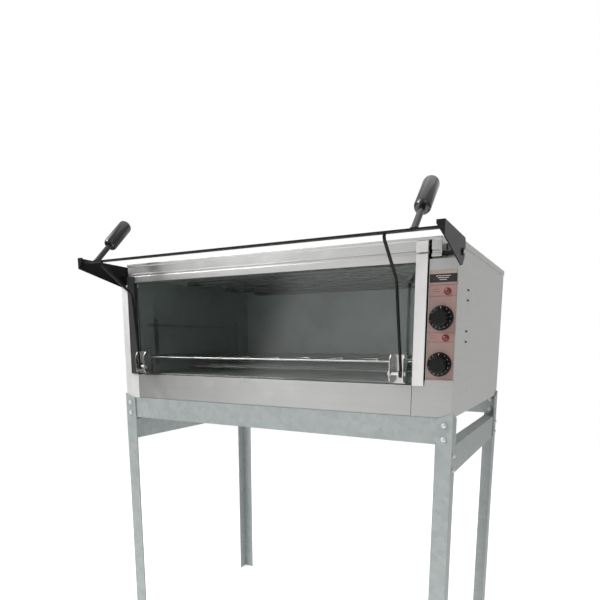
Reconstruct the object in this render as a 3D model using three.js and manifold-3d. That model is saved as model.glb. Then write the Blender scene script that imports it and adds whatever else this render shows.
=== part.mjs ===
// Electric deck oven with a lift-up glass front, standing on a bolted angle frame.
// Millimetres, +Z up, +X to the right seen from the front, +Y to the back.
import * as THREE from "three";
import { mergeVertices } from "three/addons/utils/BufferGeometryUtils.js";
import Module from "manifold-3d";

const wasm = await Module();
wasm.setup();

// ---------------------------------------------------------------- driving dimensions
// The oven body's lower front left corner is at 0, 0, 0 until the last lines of the file.
const BODY_W = 1000;
const BODY_D = 627;
const BODY_H = 385;
const SHEET = 1.5; // stainless sheet of the outer panels
const FIT = 0.3; // gap left between two neighbouring pieces

const OPENING_LEFT = 55.5; // inner edges of the frame strips
const OPENING_RIGHT = 907;
const OPENING_BOTTOM = 73;
const STRIP_W = 26.5;
const STRIP_PROUD = 6;
const STRIP_TOP = 359;

const FASCIA_LEFT = 31;
const FASCIA_RIGHT = 962;
const FASCIA_BOTTOM = 342.5;
const FASCIA_TOP = 394.5;
const FASCIA_DEEP = 40;

const NOTCH_DEEP = 46; // corner notches that the lever plates swing in
const NOTCH_Z_LEFT = 333;
const NOTCH_Z_RIGHT = 352;

const CONTROL_LEFT = 936;
const CONTROL_BREAK = 83; // height where the control fascia widens
const CONTROL_TOP = 348;

const LINER_LEFT = 56;
const LINER_RIGHT = 906;
const LINER_TOP = 356;
const LINER_FRONT = 14;
const LINER_BACK = 588;
const LINER_SHEET = 2;

const PIVOT_Y = 10; // axis that the glass front swings on
const PIVOT_Z = 360;
const PIVOT_R = 5;

const GLASS_FRONT = 3;
const GLASS_THICK = 6;
const GLASS_BOTTOM = 77;
const GLASS_TOP = 338.8;
const GLASS_SIDE_GAP = 2;

const BAR_FRONT = -150;
const BAR_W = 16;
const BAR_THICK = 4;
const BAR_TOP = 386.5;
const PLATE_THICK = 3;

const HANDLE_INSET = 59;
const HANDLE_DIA = 14;
const HANDLE_TILT = THREE.MathUtils.degToRad(45); // above the horizontal, leaning back
const HANDLE_REACH = 162; // bar to the far end of the grip
const GRIP_LEN = 97;
const GRIP_DIA = 35.5;

const STRUT_DIA = 7;
const BRACKET_W = 34;
const BRACKET_LEFT = 70;
const PIN_Y = -18;
const PIN_Z = 98;

const STAND_H = 800;
const ANGLE_W = 38; // leg angle
const ANGLE_THICK = 3;
const RAIL_H = 61;
const RAIL_DEEP = 32;
const SIDE_RAIL_TOP = -68;
const SIDE_RAIL_H = 67;
const BOLT_R = 4;

// ---------------------------------------------------------------- solids
function solid(geometry) {
  const bare = geometry.clone();
  bare.deleteAttribute("normal");
  bare.deleteAttribute("uv");
  const merged = mergeVertices(bare, 1e-4);
  return new wasm.Manifold(
    new wasm.Mesh({
      numProp: 3,
      vertProperties: new Float32Array(merged.attributes.position.array),
      triVerts: new Uint32Array(merged.index.array),
    }),
  );
}

function geometryOf(manifold) {
  const mesh = manifold.getMesh();
  const geometry = new THREE.BufferGeometry();
  geometry.setAttribute("position", new THREE.BufferAttribute(mesh.vertProperties, 3));
  geometry.setIndex(new THREE.BufferAttribute(mesh.triVerts, 1));
  const flat = geometry.toNonIndexed();
  flat.computeVertexNormals();
  return flat;
}

function join(...geometries) {
  return geometryOf(geometries.map(solid).reduce((a, b) => a.add(b)));
}

function cut(geometry, ...tools) {
  return geometryOf(tools.map(solid).reduce((a, b) => a.subtract(b), solid(geometry)));
}

function box(x0, x1, y0, y1, z0, z1) {
  const geometry = new THREE.BoxGeometry(x1 - x0, y1 - y0, z1 - z0);
  return geometry.translate((x0 + x1) / 2, (y0 + y1) / 2, (z0 + z1) / 2);
}

function extrude(outline, length) {
  const shape = new THREE.Shape(outline.map(([a, b]) => new THREE.Vector2(a, b)));
  return new THREE.ExtrudeGeometry(shape, { depth: length, bevelEnabled: false });
}

const TO_X = new THREE.Matrix4().makeBasis(
  new THREE.Vector3(0, 1, 0),
  new THREE.Vector3(0, 0, 1),
  new THREE.Vector3(1, 0, 0),
);
const TO_Y = new THREE.Matrix4().makeRotationX(Math.PI / 2);

// Outline in Y, Z drawn out along X.
function alongX(outline, x0, x1) {
  return extrude(outline, x1 - x0).applyMatrix4(TO_X).translate(x0, 0, 0);
}

// Outline in X, Z drawn out along Y.
function alongY(outline, y0, y1) {
  return extrude(outline, y1 - y0).applyMatrix4(TO_Y).translate(0, y1, 0);
}

// Outline in X, Y drawn out along Z.
function alongZ(outline, z0, z1) {
  return extrude(outline, z1 - z0).translate(0, 0, z0);
}

// Outline of a sheet bent along a line of fold points, thick to the left of the line.
function folded(points, thick) {
  const at = points.map(([a, b]) => new THREE.Vector2(a, b));
  const normal = (i) => {
    const run = at[i + 1].clone().sub(at[i]).normalize();
    return new THREE.Vector2(-run.y, run.x);
  };
  const inner = at.map((p, i) => {
    const before = normal(Math.max(i - 1, 0));
    const after = normal(Math.min(i, at.length - 2));
    const mitre = before.clone().add(after).normalize();
    return p.clone().addScaledVector(mitre, thick / mitre.dot(after));
  });
  return [...at, ...inner.reverse()].map((p) => [p.x, p.y]);
}

function rod(from, to, radius, sides = 16) {
  const a = new THREE.Vector3(...from);
  const b = new THREE.Vector3(...to);
  const turn = new THREE.Quaternion().setFromUnitVectors(
    new THREE.Vector3(0, 1, 0),
    b.clone().sub(a).normalize(),
  );
  const geometry = new THREE.CylinderGeometry(radius, radius, a.distanceTo(b), sides);
  const middle = a.clone().add(b).multiplyScalar(0.5);
  return geometry.applyQuaternion(turn).translate(middle.x, middle.y, middle.z);
}

// A wire bent through corners: each corner is a short arc, and the straights between stay single runs.
class BentWire extends THREE.Curve {
  constructor(corners, bendRadius, arcSteps = 5) {
    super();
    const at = corners.map((c) => new THREE.Vector3(...c));
    this.points = [at[0]];
    for (let i = 1; i < at.length - 1; i++) {
      const back = at[i - 1].clone().sub(at[i]);
      const on = at[i + 1].clone().sub(at[i]);
      const reach = Math.min(bendRadius, back.length() / 2.1, on.length() / 2.1);
      const start = at[i].clone().addScaledVector(back.normalize(), reach);
      const end = at[i].clone().addScaledVector(on.normalize(), reach);
      const arc = new THREE.QuadraticBezierCurve3(start, at[i], end);
      this.points.push(...arc.getPoints(arcSteps));
    }
    this.points.push(at[at.length - 1]);
  }
  getPoint(t) {
    return this.points[Math.round(t * (this.points.length - 1))].clone();
  }
  getPointAt(u) {
    return this.getPoint(u);
  }
  getSpacedPoints() {
    return this.points;
  }
  getTangentAt(u) {
    const last = this.points.length - 1;
    const i = Math.round(u * last);
    const before = this.points[Math.max(i - 1, 0)];
    const after = this.points[Math.min(i + 1, last)];
    return after.clone().sub(before).normalize();
  }
}

function wire(corners, radius, bendRadius, sides = 10) {
  const path = new BentWire(corners, bendRadius);
  const ring = Array.from({ length: sides }, (_, i) => {
    const turn = (2 * Math.PI * i) / sides;
    return new THREE.Vector2(radius * Math.cos(turn), radius * Math.sin(turn));
  });
  return new THREE.ExtrudeGeometry(new THREE.Shape(ring), {
    steps: path.points.length - 1,
    extrudePath: path,
    bevelEnabled: false,
  });
}

function lathe(profile, sides = 32) {
  return new THREE.LatheGeometry(profile.map(([r, h]) => new THREE.Vector2(r, h)), sides);
}

// ---------------------------------------------------------------- finishes
const FINISHES = {
  stainless: { color: 0xc4c6c7, roughness: 0.35, metalness: 0.9 },
  liner: { color: 0x8b918e, roughness: 0.45, metalness: 0.8 },
  galvanised: { color: 0x98a0a4, roughness: 0.5, metalness: 0.7 },
  blackSteel: { color: 0x1d1d1f, roughness: 0.45, metalness: 0.2 },
  blackPlastic: { color: 0x141416, roughness: 0.25, metalness: 0 },
  glass: { color: 0x66706c, roughness: 0.05, metalness: 0, transparent: true, opacity: 0.35 },
  label: { color: 0xcbb3a8, roughness: 0.5, metalness: 0 },
  lamp: { color: 0x9b2a22, roughness: 0.2, metalness: 0 },
  chrome: { color: 0xb9bcbe, roughness: 0.2, metalness: 1 },
  element: { color: 0x4a4643, roughness: 0.6, metalness: 0.5 },
  bolt: { color: 0xb3b8ba, roughness: 0.35, metalness: 0.9 },
};

const oven = new THREE.Group();
oven.name = "deck_oven";

function section(name) {
  const group = new THREE.Group();
  group.name = name;
  oven.add(group);
  return group;
}

function piece(group, name, geometry, finish) {
  const mesh = new THREE.Mesh(geometry, new THREE.MeshStandardMaterial(FINISHES[finish]));
  mesh.name = name;
  group.add(mesh);
  return mesh;
}

// ---------------------------------------------------------------- stand
const stand = section("stand");
const LEG_TOP_CORNER = 12; // the legs' corners stand a little above the rails and steady the body
const LEG_TOP_EDGE = -2;
const RAIL_TOP = -FIT;
const BOLT_LINE = 16; // bolt holes, from the body's edge
const BOLT_RISE = { long: [-16, -48], side: [-86, -120] };

// One leg for the front left corner. The other corners mirror it.
function legAngle() {
  const out = -FIT - ANGLE_THICK;
  const far = out + ANGLE_W;
  const flange = [
    [out, -STAND_H],
    [far, -STAND_H],
    [far, LEG_TOP_EDGE],
    [out, LEG_TOP_CORNER],
  ];
  const front = alongY(flange, out, out + ANGLE_THICK);
  const side = alongX(flange, out, out + ANGLE_THICK);
  const holes = [
    ...BOLT_RISE.long.map((z) => rod([BOLT_LINE, -9, z], [BOLT_LINE, 5, z], BOLT_R + FIT, 12)),
    ...BOLT_RISE.side.map((z) => rod([-9, BOLT_LINE, z], [5, BOLT_LINE, z], BOLT_R + FIT, 12)),
  ];
  return cut(join(front, side), ...holes);
}

// Mirrors a front left geometry to the right and, or, to the rear.
function toCorner(geometry, right, rear) {
  const copy = geometry.clone();
  copy.translate(-BODY_W / 2, -BODY_D / 2, 0);
  copy.scale(right ? -1 : 1, rear ? -1 : 1, 1);
  copy.translate(BODY_W / 2, BODY_D / 2, 0);
  if (right === rear) return copy;
  const p = copy.attributes.position;
  for (let i = 0; i < p.count; i += 3) {
    const b = [p.getX(i + 1), p.getY(i + 1), p.getZ(i + 1)];
    p.setXYZ(i + 1, p.getX(i + 2), p.getY(i + 2), p.getZ(i + 2));
    p.setXYZ(i + 2, ...b);
  }
  copy.computeVertexNormals();
  return copy;
}

// Angle section rail, upright flange outside, shelf flange inside at the top.
function railOutline(top, height) {
  return folded(
    [
      [0, top - height],
      [0, top],
      [RAIL_DEEP, top],
    ],
    -ANGLE_THICK,
  );
}

function longRail() {
  const bar = alongX(railOutline(RAIL_TOP, RAIL_H).reverse(), FIT, BODY_W - FIT);
  const holes = [BOLT_LINE, BODY_W - BOLT_LINE].flatMap((x) =>
    BOLT_RISE.long.map((z) => rod([x, -2, z], [x, 5, z], BOLT_R + FIT, 12)),
  );
  return cut(bar, ...holes);
}

function sideRail() {
  const bar = alongY(railOutline(SIDE_RAIL_TOP, SIDE_RAIL_H), FIT, BODY_D - FIT);
  const holes = [BOLT_LINE, BODY_D - BOLT_LINE].flatMap((y) =>
    BOLT_RISE.side.map((z) => rod([-2, y, z], [5, y, z], BOLT_R + FIT, 12)),
  );
  return cut(bar, ...holes);
}

// Domed bolt with its nut, head at -Y, for the joint of leg flange and rail flange.
function standBolt() {
  const head = -FIT * 2 - ANGLE_THICK;
  const nut = ANGLE_THICK + FIT;
  const domed = lathe(
    [
      [0, head - 5],
      [3.2, head - 4.6],
      [5.8, head - 3],
      [7, head],
      [BOLT_R, head],
      [BOLT_R, nut + 9],
      [0, nut + 9],
    ],
    16,
  );
  const hex = new THREE.CylinderGeometry(7.5, 7.5, 6.5, 6).translate(0, nut + 3.25, 0);
  return join(domed, hex);
}

const legShape = legAngle();
const longRailShape = longRail();
const sideRailShape = sideRail();
const boltShape = standBolt();
const CORNERS = [
  ["front_left", false, false],
  ["front_right", true, false],
  ["rear_left", false, true],
  ["rear_right", true, true],
];
for (const [corner, right, rear] of CORNERS) {
  piece(stand, "leg_" + corner, toCorner(legShape, right, rear), "galvanised");
  BOLT_RISE.long.forEach((z, i) => {
    const bolt = boltShape.clone().translate(BOLT_LINE, 0, z);
    piece(stand, `bolt_${corner}_rail_${i + 1}`, toCorner(bolt, right, rear), "bolt");
  });
  BOLT_RISE.side.forEach((z, i) => {
    const bolt = boltShape.clone().rotateZ(-Math.PI / 2).translate(0, BOLT_LINE, z);
    piece(stand, `bolt_${corner}_side_${i + 1}`, toCorner(bolt, right, rear), "bolt");
  });
}
piece(stand, "rail_front", longRailShape, "galvanised");
piece(stand, "rail_rear", toCorner(longRailShape, false, true), "galvanised");
piece(stand, "rail_left", sideRailShape, "galvanised");
piece(stand, "rail_right", toCorner(sideRailShape, true, false), "galvanised");

// ---------------------------------------------------------------- outer body
const body = section("body");
const FLANGE_W = 27; // front return of the left side panel
const FLANGE_W_LOW = 52;
const BACK_FRONT = BODY_D - SHEET; // front of the back panel
const SLOT_RISE = [288, 265, 194, 170]; // small cooling slots in the right side panel

function sidePanelLeft() {
  const notchFloor = NOTCH_Z_LEFT;
  const wall = [
    [0, 0],
    [BACK_FRONT - FIT, 0],
    [BACK_FRONT - FIT, BODY_H],
    [NOTCH_DEEP, BODY_H],
    [NOTCH_DEEP, notchFloor],
    [0, notchFloor],
  ];
  const inner = FASCIA_LEFT - FIT;
  return join(
    alongX(wall, 0, SHEET),
    box(0, FLANGE_W, 0, SHEET, OPENING_BOTTOM, notchFloor),
    box(0, FLANGE_W_LOW, 0, SHEET, 0, OPENING_BOTTOM),
    box(0, FLANGE_W, 0, NOTCH_DEEP, notchFloor - SHEET, notchFloor),
    box(0, inner, NOTCH_DEEP, NOTCH_DEEP + SHEET, notchFloor - SHEET, BODY_H),
  );
}

function sidePanelRight() {
  const floor = NOTCH_Z_RIGHT;
  const wall = [
    [0, 0],
    [BACK_FRONT - FIT, 0],
    [BACK_FRONT - FIT, BODY_H],
    [NOTCH_DEEP, BODY_H],
    [NOTCH_DEEP, floor],
    [0, floor],
  ];
  const slots = SLOT_RISE.map((z) => box(BODY_W - 5, BODY_W + 1, 94, 118, z - 2, z + 2));
  const sheet = join(
    alongX(wall, BODY_W - SHEET, BODY_W),
    box(FASCIA_RIGHT + FIT, BODY_W, NOTCH_DEEP, NOTCH_DEEP + SHEET, floor - SHEET, BODY_H),
    box(CONTROL_LEFT + 3, BODY_W, 12, NOTCH_DEEP + SHEET, floor - SHEET, floor),
  );
  return cut(sheet, ...slots);
}

function roofPanel() {
  const top = BODY_H + FIT;
  const out = -FIT - SHEET;
  const rear = BODY_D + FIT + SHEET;
  const rim = 12;
  return join(
    box(out, BODY_W - out, NOTCH_DEEP + 2, rear, top, top + SHEET),
    box(FASCIA_LEFT + 4, FASCIA_RIGHT - 4, FASCIA_DEEP + 2, NOTCH_DEEP + 4, top, top + SHEET),
    box(out, out + SHEET, NOTCH_DEEP + 2, rear, top - rim, top + SHEET),
    box(BODY_W - out - SHEET, BODY_W - out, NOTCH_DEEP + 2, rear, top - rim, top + SHEET),
    box(out, BODY_W - out, rear - SHEET, rear, top - rim, top + SHEET),
  );
}

function backPanel() {
  const slots = [0, 1, 2, 3, 4, 5].map((i) =>
    box(800 + i * 22, 810 + i * 22, BODY_D - 5, BODY_D + 5, 120, 180),
  );
  return cut(box(0, BODY_W, BACK_FRONT, BODY_D, 0, BODY_H), ...slots);
}

function basePan() {
  return box(SHEET + FIT, BODY_W - SHEET - FIT, SHEET + FIT, BACK_FRONT - FIT, 0, SHEET);
}

function lowerFrontPanel() {
  const outline = folded(
    [
      [0, SHEET + FIT],
      [0, OPENING_BOTTOM - 1],
      [LINER_FRONT - 1, OPENING_BOTTOM - 1],
      [LINER_FRONT - 1, OPENING_BOTTOM - 12],
    ],
    -SHEET,
  );
  return alongX(outline.reverse(), FLANGE_W_LOW + 1, OPENING_RIGHT - 2);
}

// Full-width fascia over the opening, with its two pressed steps, end cheeks and pivot holes.
function topFascia() {
  const outline = folded(
    [
      [LINER_FRONT - 1, FASCIA_BOTTOM],
      [-2, FASCIA_BOTTOM],
      [-2, 358.5],
      [2.5, 360.5],
      [2.5, 365],
      [-2, 367.5],
      [-2, 386.5],
      [-4.5, 388.5],
      [-4.5, FASCIA_TOP],
      [FASCIA_DEEP, FASCIA_TOP],
      [FASCIA_DEEP, BODY_H + 1],
    ],
    -SHEET,
  );
  const cheek = (x) => box(x, x + 3, 0, FASCIA_DEEP - 1, FASCIA_BOTTOM + 1, FASCIA_TOP - 1);
  const sheet = join(
    alongX(outline.reverse(), FASCIA_LEFT, FASCIA_RIGHT),
    cheek(FASCIA_LEFT),
    cheek(FASCIA_RIGHT - 3),
  );
  const hole = (x) =>
    rod([x - 6, PIVOT_Y, PIVOT_Z], [x + 6, PIVOT_Y, PIVOT_Z], PIVOT_R + FIT, 24);
  const groove = box(OPENING_RIGHT + STRIP_W + 0.5, CONTROL_LEFT + 4, -8, 12, 300, BODY_H + 3);
  const overControls = box(
    CONTROL_LEFT - 2,
    FASCIA_RIGHT + 1,
    -8,
    FASCIA_DEEP + 1,
    300,
    NOTCH_Z_RIGHT + FIT,
  );
  return cut(sheet, hole(FASCIA_LEFT), hole(FASCIA_RIGHT), groove, overControls);
}

// Cover that carries the line of the right strip up over the fascia.
function stripCap() {
  return box(OPENING_RIGHT, OPENING_RIGHT + STRIP_W, -STRIP_PROUD, -2 - FIT, STRIP_TOP + 3.5, 386.2);
}

// Folded strip beside the opening: proud face, outer return, and an inner return as the jamb.
// Its returns start above returnsFrom, so that it can lap over a neighbouring panel's face.
function frameStrip(left, bottom, innerOnRight, returnsFrom = bottom) {
  const right = left + STRIP_W;
  const outer = 10;
  const jamb = LINER_FRONT - 1;
  const outline = folded(
    [
      [left, innerOnRight ? outer : jamb],
      [left, -STRIP_PROUD],
      [right, -STRIP_PROUD],
      [right, innerOnRight ? jamb : outer],
    ],
    SHEET,
  );
  const strip = alongZ(outline, bottom, STRIP_TOP);
  const relief = box(left - 1, right + 1, -2 - FIT, 60, FASCIA_BOTTOM - FIT, STRIP_TOP + 1);
  const lap = box(left - 1, right + 1, -FIT, 60, bottom - 1, returnsFrom + FIT);
  return cut(strip, relief, lap);
}

const KNOB_X = 966.5;
const KNOB_RISE = { knob_upper: 221.5, knob_lower: 120.5 };
const LAMP_X = 978;
const LAMP_RISE = { pilot_lamp_upper: 278, pilot_lamp_lower: 178.5 };
const SHAFT_R = 3;
const LAMP_R = 5.5;

function controlHoles() {
  const knobs = Object.values(KNOB_RISE).map((z) =>
    rod([KNOB_X, -8, z], [KNOB_X, 8, z], SHAFT_R + FIT, 16),
  );
  const lamps = Object.values(LAMP_RISE).map((z) =>
    rod([LAMP_X, -8, z], [LAMP_X, 8, z], LAMP_R + FIT, 20),
  );
  return [...knobs, ...lamps];
}

function controlFascia() {
  const right = BODY_W - SHEET - FIT;
  const low = SHEET + FIT;
  const face = [
    [OPENING_RIGHT - 1, low],
    [right, low],
    [right, CONTROL_TOP],
    [CONTROL_LEFT, CONTROL_TOP],
    [CONTROL_LEFT, CONTROL_BREAK],
    [OPENING_RIGHT - 1, CONTROL_BREAK],
  ];
  return cut(
    join(
      alongY(face, 0, SHEET),
      box(CONTROL_LEFT, right, 0, 30, CONTROL_TOP - SHEET, CONTROL_TOP),
      box(CONTROL_LEFT, CONTROL_LEFT + SHEET, 0, 30, CONTROL_BREAK, CONTROL_TOP),
    ),
    ...controlHoles(),
  );
}

const LABEL_THICK = 0.8;

function labelPlate() {
  const plate = box(937.5, 997, -LABEL_THICK - FIT, -FIT, 85, 323.5);
  return cut(plate, ...controlHoles());
}

// Fluted thermostat knob: skirt with pointer nib, gripping cap, and the shaft it turns.
function knob(rise) {
  const back = LABEL_THICK + 2 * FIT + 0.6;
  const turned = lathe(
    [
      [0, -back - 24],
      [16, -back - 24],
      [18.3, -back - 22],
      [20, -back - 8],
      [24.3, -back - 7],
      [27, -back - 2],
      [27, -back],
      [SHAFT_R, -back],
      [SHAFT_R, 14],
      [0, 14],
    ],
    48,
  );
  const flutes = Array.from({ length: 12 }, (_, i) => {
    const turn = (2 * Math.PI * (i + 0.5)) / 12;
    const x = 22.2 * Math.cos(turn);
    const z = 22.2 * Math.sin(turn);
    return rod([x, -back - 30, z], [x, -back - 9.5, z], 3.9, 12);
  });
  const nib = box(-1.6, 1.6, -back - 25, -back - 8, 2, 19);
  return join(cut(turned, ...flutes), nib).translate(KNOB_X, 0, rise);
}

function pilotLamp(rise) {
  const face = LABEL_THICK + FIT * 2;
  const lens = lathe(
    [
      [0, -face - 6],
      [3.5, -face - 5.4],
      [6, -face - 3.4],
      [6.6, -face - 1.2],
      [7.6, -face - 1],
      [7.6, -face],
      [LAMP_R, -face],
      [LAMP_R, 12],
      [0, 12],
    ],
    24,
  );
  return lens.translate(LAMP_X, 0, rise);
}

piece(body, "side_panel_left", sidePanelLeft(), "stainless");
piece(body, "side_panel_right", sidePanelRight(), "stainless");
piece(body, "roof_panel", roofPanel(), "stainless");
piece(body, "back_panel", backPanel(), "stainless");
piece(body, "base_pan", basePan(), "stainless");
piece(body, "lower_front_panel", lowerFrontPanel(), "stainless");
piece(body, "top_fascia", topFascia(), "stainless");
piece(
  body,
  "frame_strip_left",
  frameStrip(OPENING_LEFT - STRIP_W, OPENING_BOTTOM + FIT, true),
  "stainless",
);
piece(
  body,
  "frame_strip_right",
  frameStrip(OPENING_RIGHT, OPENING_BOTTOM - 2, false, CONTROL_BREAK),
  "stainless",
);
piece(body, "strip_cap", stripCap(), "stainless");
piece(body, "control_fascia", controlFascia(), "stainless");
piece(body, "label_plate", labelPlate(), "label");
for (const [name, rise] of Object.entries(KNOB_RISE)) piece(body, name, knob(rise), "blackPlastic");
for (const [name, rise] of Object.entries(LAMP_RISE)) piece(body, name, pilotLamp(rise), "lamp");

// ---------------------------------------------------------------- oven chamber
const chamber = section("chamber");
const LEDGE_W = 12;
const LEDGE_RISE = [118, 219]; // two rack levels
const RACK_Z = 122.6;
const RACK_FRONT = 40;
const RACK_BACK = 555;
const RACK_WIRE_FIRST = 154;
const RACK_WIRE_PITCH = 93.3;
const RACK_WIRES = 8;
const ELEMENT_R = 4;
const ELEMENT_PASSES = [110, 205, 300, 395, 490];

function linerWrap() {
  const outline = folded(
    [
      [LINER_LEFT, OPENING_BOTTOM + 2],
      [LINER_LEFT, LINER_TOP],
      [LINER_RIGHT, LINER_TOP],
      [LINER_RIGHT, OPENING_BOTTOM + 2],
    ],
    -LINER_SHEET,
  );
  return alongY(outline, LINER_FRONT, LINER_BACK);
}

function linerBack() {
  const y = LINER_BACK + FIT;
  return box(LINER_LEFT, LINER_RIGHT, y, y + LINER_SHEET, OPENING_BOTTOM, LINER_TOP);
}

function deckPlate() {
  const inset = LINER_SHEET + FIT;
  const left = LINER_LEFT + inset;
  const right = LINER_RIGHT - inset;
  return box(left, right, LINER_FRONT, LINER_BACK, OPENING_BOTTOM, OPENING_BOTTOM + 4);
}

// Wall ladder with a ledge for each rack level.
function rackGuide(onRight) {
  const wall = LINER_LEFT + LINER_SHEET + FIT;
  const upright = (y) => box(wall, wall + SHEET, y, y + 18, 100, 240);
  const ledge = (z) => box(wall, wall + LEDGE_W, 45, 560, z, z + SHEET);
  const guide = join(upright(70), upright(500), ...LEDGE_RISE.map(ledge));
  if (!onRight) return guide;
  const mirrored = guide.clone().applyMatrix4(new THREE.Matrix4().makeRotationZ(Math.PI));
  const middle = (LINER_LEFT + LINER_RIGHT) / 2;
  return mirrored.translate(2 * middle, 605, 0);
}

function wireRack() {
  const left = LINER_LEFT + LINER_SHEET + 6;
  const right = LINER_RIGHT - LINER_SHEET - 6;
  const across = [RACK_FRONT, 210, 383, RACK_BACK].map((y) =>
    rod([left - 3, y, RACK_Z], [right + 3, y, RACK_Z], 3, 10),
  );
  const rise = RACK_Z + 4.6;
  const down = Array.from({ length: RACK_WIRES }, (_, i) => {
    const x = RACK_WIRE_FIRST + i * RACK_WIRE_PITCH;
    return rod([x, RACK_FRONT - 3, rise], [x, RACK_BACK + 3, rise], 2.5, 10);
  });
  const ends = [left + 2, right - 2].map((x) =>
    rod([x, RACK_FRONT - 3, rise], [x, RACK_BACK + 3, rise], 2.5, 10),
  );
  return join(...across, ...down, ...ends);
}

// Serpentine tube element whose two ends reach the control side wall.
function element(rise) {
  const wall = LINER_RIGHT - LINER_SHEET - FIT;
  const near = 150;
  const far = 800;
  const corners = [[wall, ELEMENT_PASSES[0], rise]];
  ELEMENT_PASSES.forEach((y, i) => {
    const goingLeft = i % 2 === 0;
    if (i > 0) corners.push([goingLeft ? far : near, y, rise]);
    const lastPass = i === ELEMENT_PASSES.length - 1;
    if (!lastPass) corners.push([goingLeft ? near : far, y, rise]);
  });
  const end = ELEMENT_PASSES[ELEMENT_PASSES.length - 1];
  corners.push([near, end, rise], [near, end + 45, rise], [wall, end + 45, rise]);
  return wire(corners, ELEMENT_R, 40, 8);
}

piece(chamber, "liner_wrap", linerWrap(), "liner");
piece(chamber, "liner_back", linerBack(), "liner");
piece(chamber, "deck_plate", deckPlate(), "liner");
piece(chamber, "rack_guide_left", rackGuide(false), "chrome");
piece(chamber, "rack_guide_right", rackGuide(true), "chrome");
piece(chamber, "wire_rack", wireRack(), "chrome");
piece(chamber, "element_lower", element(95), "element");
piece(chamber, "element_upper", element(343), "element");

// ---------------------------------------------------------------- lift-up glass front
const door = section("glass_front");
const MIRROR_X = OPENING_LEFT + OPENING_RIGHT; // left and right fittings mirror about half of this
const STRUT_TOP = { x: 81, y: -142 };
const STRUT_BEND = { x: 86, y: -43, z: 303 };
const STRUT_PIN_X = 78;

function glassPane() {
  const back = GLASS_FRONT + GLASS_THICK;
  const left = OPENING_LEFT + GLASS_SIDE_GAP;
  const right = OPENING_RIGHT - GLASS_SIDE_GAP;
  return box(left, right, GLASS_FRONT, back, GLASS_BOTTOM, GLASS_TOP);
}

// Stainless clamp on the lower edge of the glass, with two ears that hold the strut's pin.
function clampBracket(left) {
  const right = left + BRACKET_W;
  const front = GLASS_FRONT - FIT - 2;
  const back = GLASS_FRONT + GLASS_THICK + FIT;
  const foot = GLASS_BOTTOM - FIT - 2;
  const top = 141;
  const ear = [
    [front + 1, foot],
    [-24, foot + 6],
    [-27, foot + 14],
    [-27, top - 12],
    [-18, top],
    [front + 1, top],
  ];
  return join(
    box(left, right, front, front + 2, foot, top),
    box(left, right, front, back + 2, foot, foot + 2),
    box(left, right, back, back + 2, foot, foot + 26),
    alongX(ear.slice().reverse(), left, left + 2),
    alongX(ear.slice().reverse(), right - 2, right),
    rod([left - 3.5, PIN_Y, PIN_Z], [right + 3.5, PIN_Y, PIN_Z], BOLT_R, 16),
    rod([left - 4, PIN_Y, PIN_Z], [left - 0.01, PIN_Y, PIN_Z], 6.5, 6),
    rod([right + 0.01, PIN_Y, PIN_Z], [right + 4, PIN_Y, PIN_Z], 6.5, 6),
  );
}

// Bent strut from the lever bar down to the bracket pin, with a flattened eye at its foot.
function strut(onRight) {
  const x = (value) => (onRight ? MIRROR_X - value : value);
  const top = [x(STRUT_TOP.x), STRUT_TOP.y, BAR_TOP - BAR_THICK - FIT];
  const shoulder = [x(STRUT_TOP.x), STRUT_TOP.y, BAR_TOP - BAR_THICK - 10];
  const bend = [x(STRUT_BEND.x), STRUT_BEND.y, STRUT_BEND.z];
  const pin = x(STRUT_PIN_X);
  const foot = [pin, PIN_Y - 1, PIN_Z + 6];
  const eye = rod([pin - 3, PIN_Y, PIN_Z], [pin + 3, PIN_Y, PIN_Z], 9, 20);
  const hole = rod([pin - 5, PIN_Y, PIN_Z], [pin + 5, PIN_Y, PIN_Z], BOLT_R + FIT, 20);
  return cut(join(wire([top, shoulder, bend, foot], STRUT_DIA / 2, 10, 12), eye), hole);
}

const PLATE_OUTLINE = [
  [-150, 368],
  [4, 331],
  [16, 333.5],
  [33, 353],
  [36, 386],
  [30, 392],
  [-150, 397],
];
const PLATE_LIP = 14; // front edge turned inwards, cut off on a slant

// Wedge-shaped end plate with a turned front lip and the stub that it pivots on.
function leverPlate(onRight) {
  const inner = onRight ? BODY_W + FIT : -FIT;
  const out = onRight ? inner + PLATE_THICK : inner - PLATE_THICK;
  const inward = onRight ? -1 : 1;
  const span = (a, b) => [Math.min(a, b), Math.max(a, b)];
  const [p0, p1] = span(inner, out);
  const lipEnd = inner + inward * PLATE_LIP;
  const lip = [
    [out, 397],
    [out, 368],
    [inner, 368],
    [lipEnd, 390],
    [lipEnd, 397],
  ];
  const stubEnd = onRight ? FASCIA_RIGHT - 2.5 : FASCIA_LEFT + 2.5;
  return join(
    alongX(PLATE_OUTLINE, p0, p1),
    alongY(onRight ? lip.reverse() : lip, BAR_FRONT, BAR_FRONT + PLATE_THICK),
    rod([out, PIVOT_Y, PIVOT_Z], [stubEnd, PIVOT_Y, PIVOT_Z], PIVOT_R, 24),
    rod([out - inward * 3, PIVOT_Y, PIVOT_Z], [out + inward, PIVOT_Y, PIVOT_Z], 8, 6),
  );
}

function leverBar() {
  const left = FIT;
  const front = BAR_FRONT + PLATE_THICK + FIT;
  return box(left, BODY_W - FIT, front, front + BAR_W, BAR_TOP - BAR_THICK, BAR_TOP);
}

// Distance along a handle from the middle of the bar, seen from the side.
function onHandle(distance) {
  const y = BAR_FRONT + PLATE_THICK + FIT + BAR_W / 2 + distance * Math.cos(HANDLE_TILT);
  const z = BAR_TOP + distance * Math.sin(HANDLE_TILT);
  return [y, z];
}

const GRIP_BORE = 42;

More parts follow.
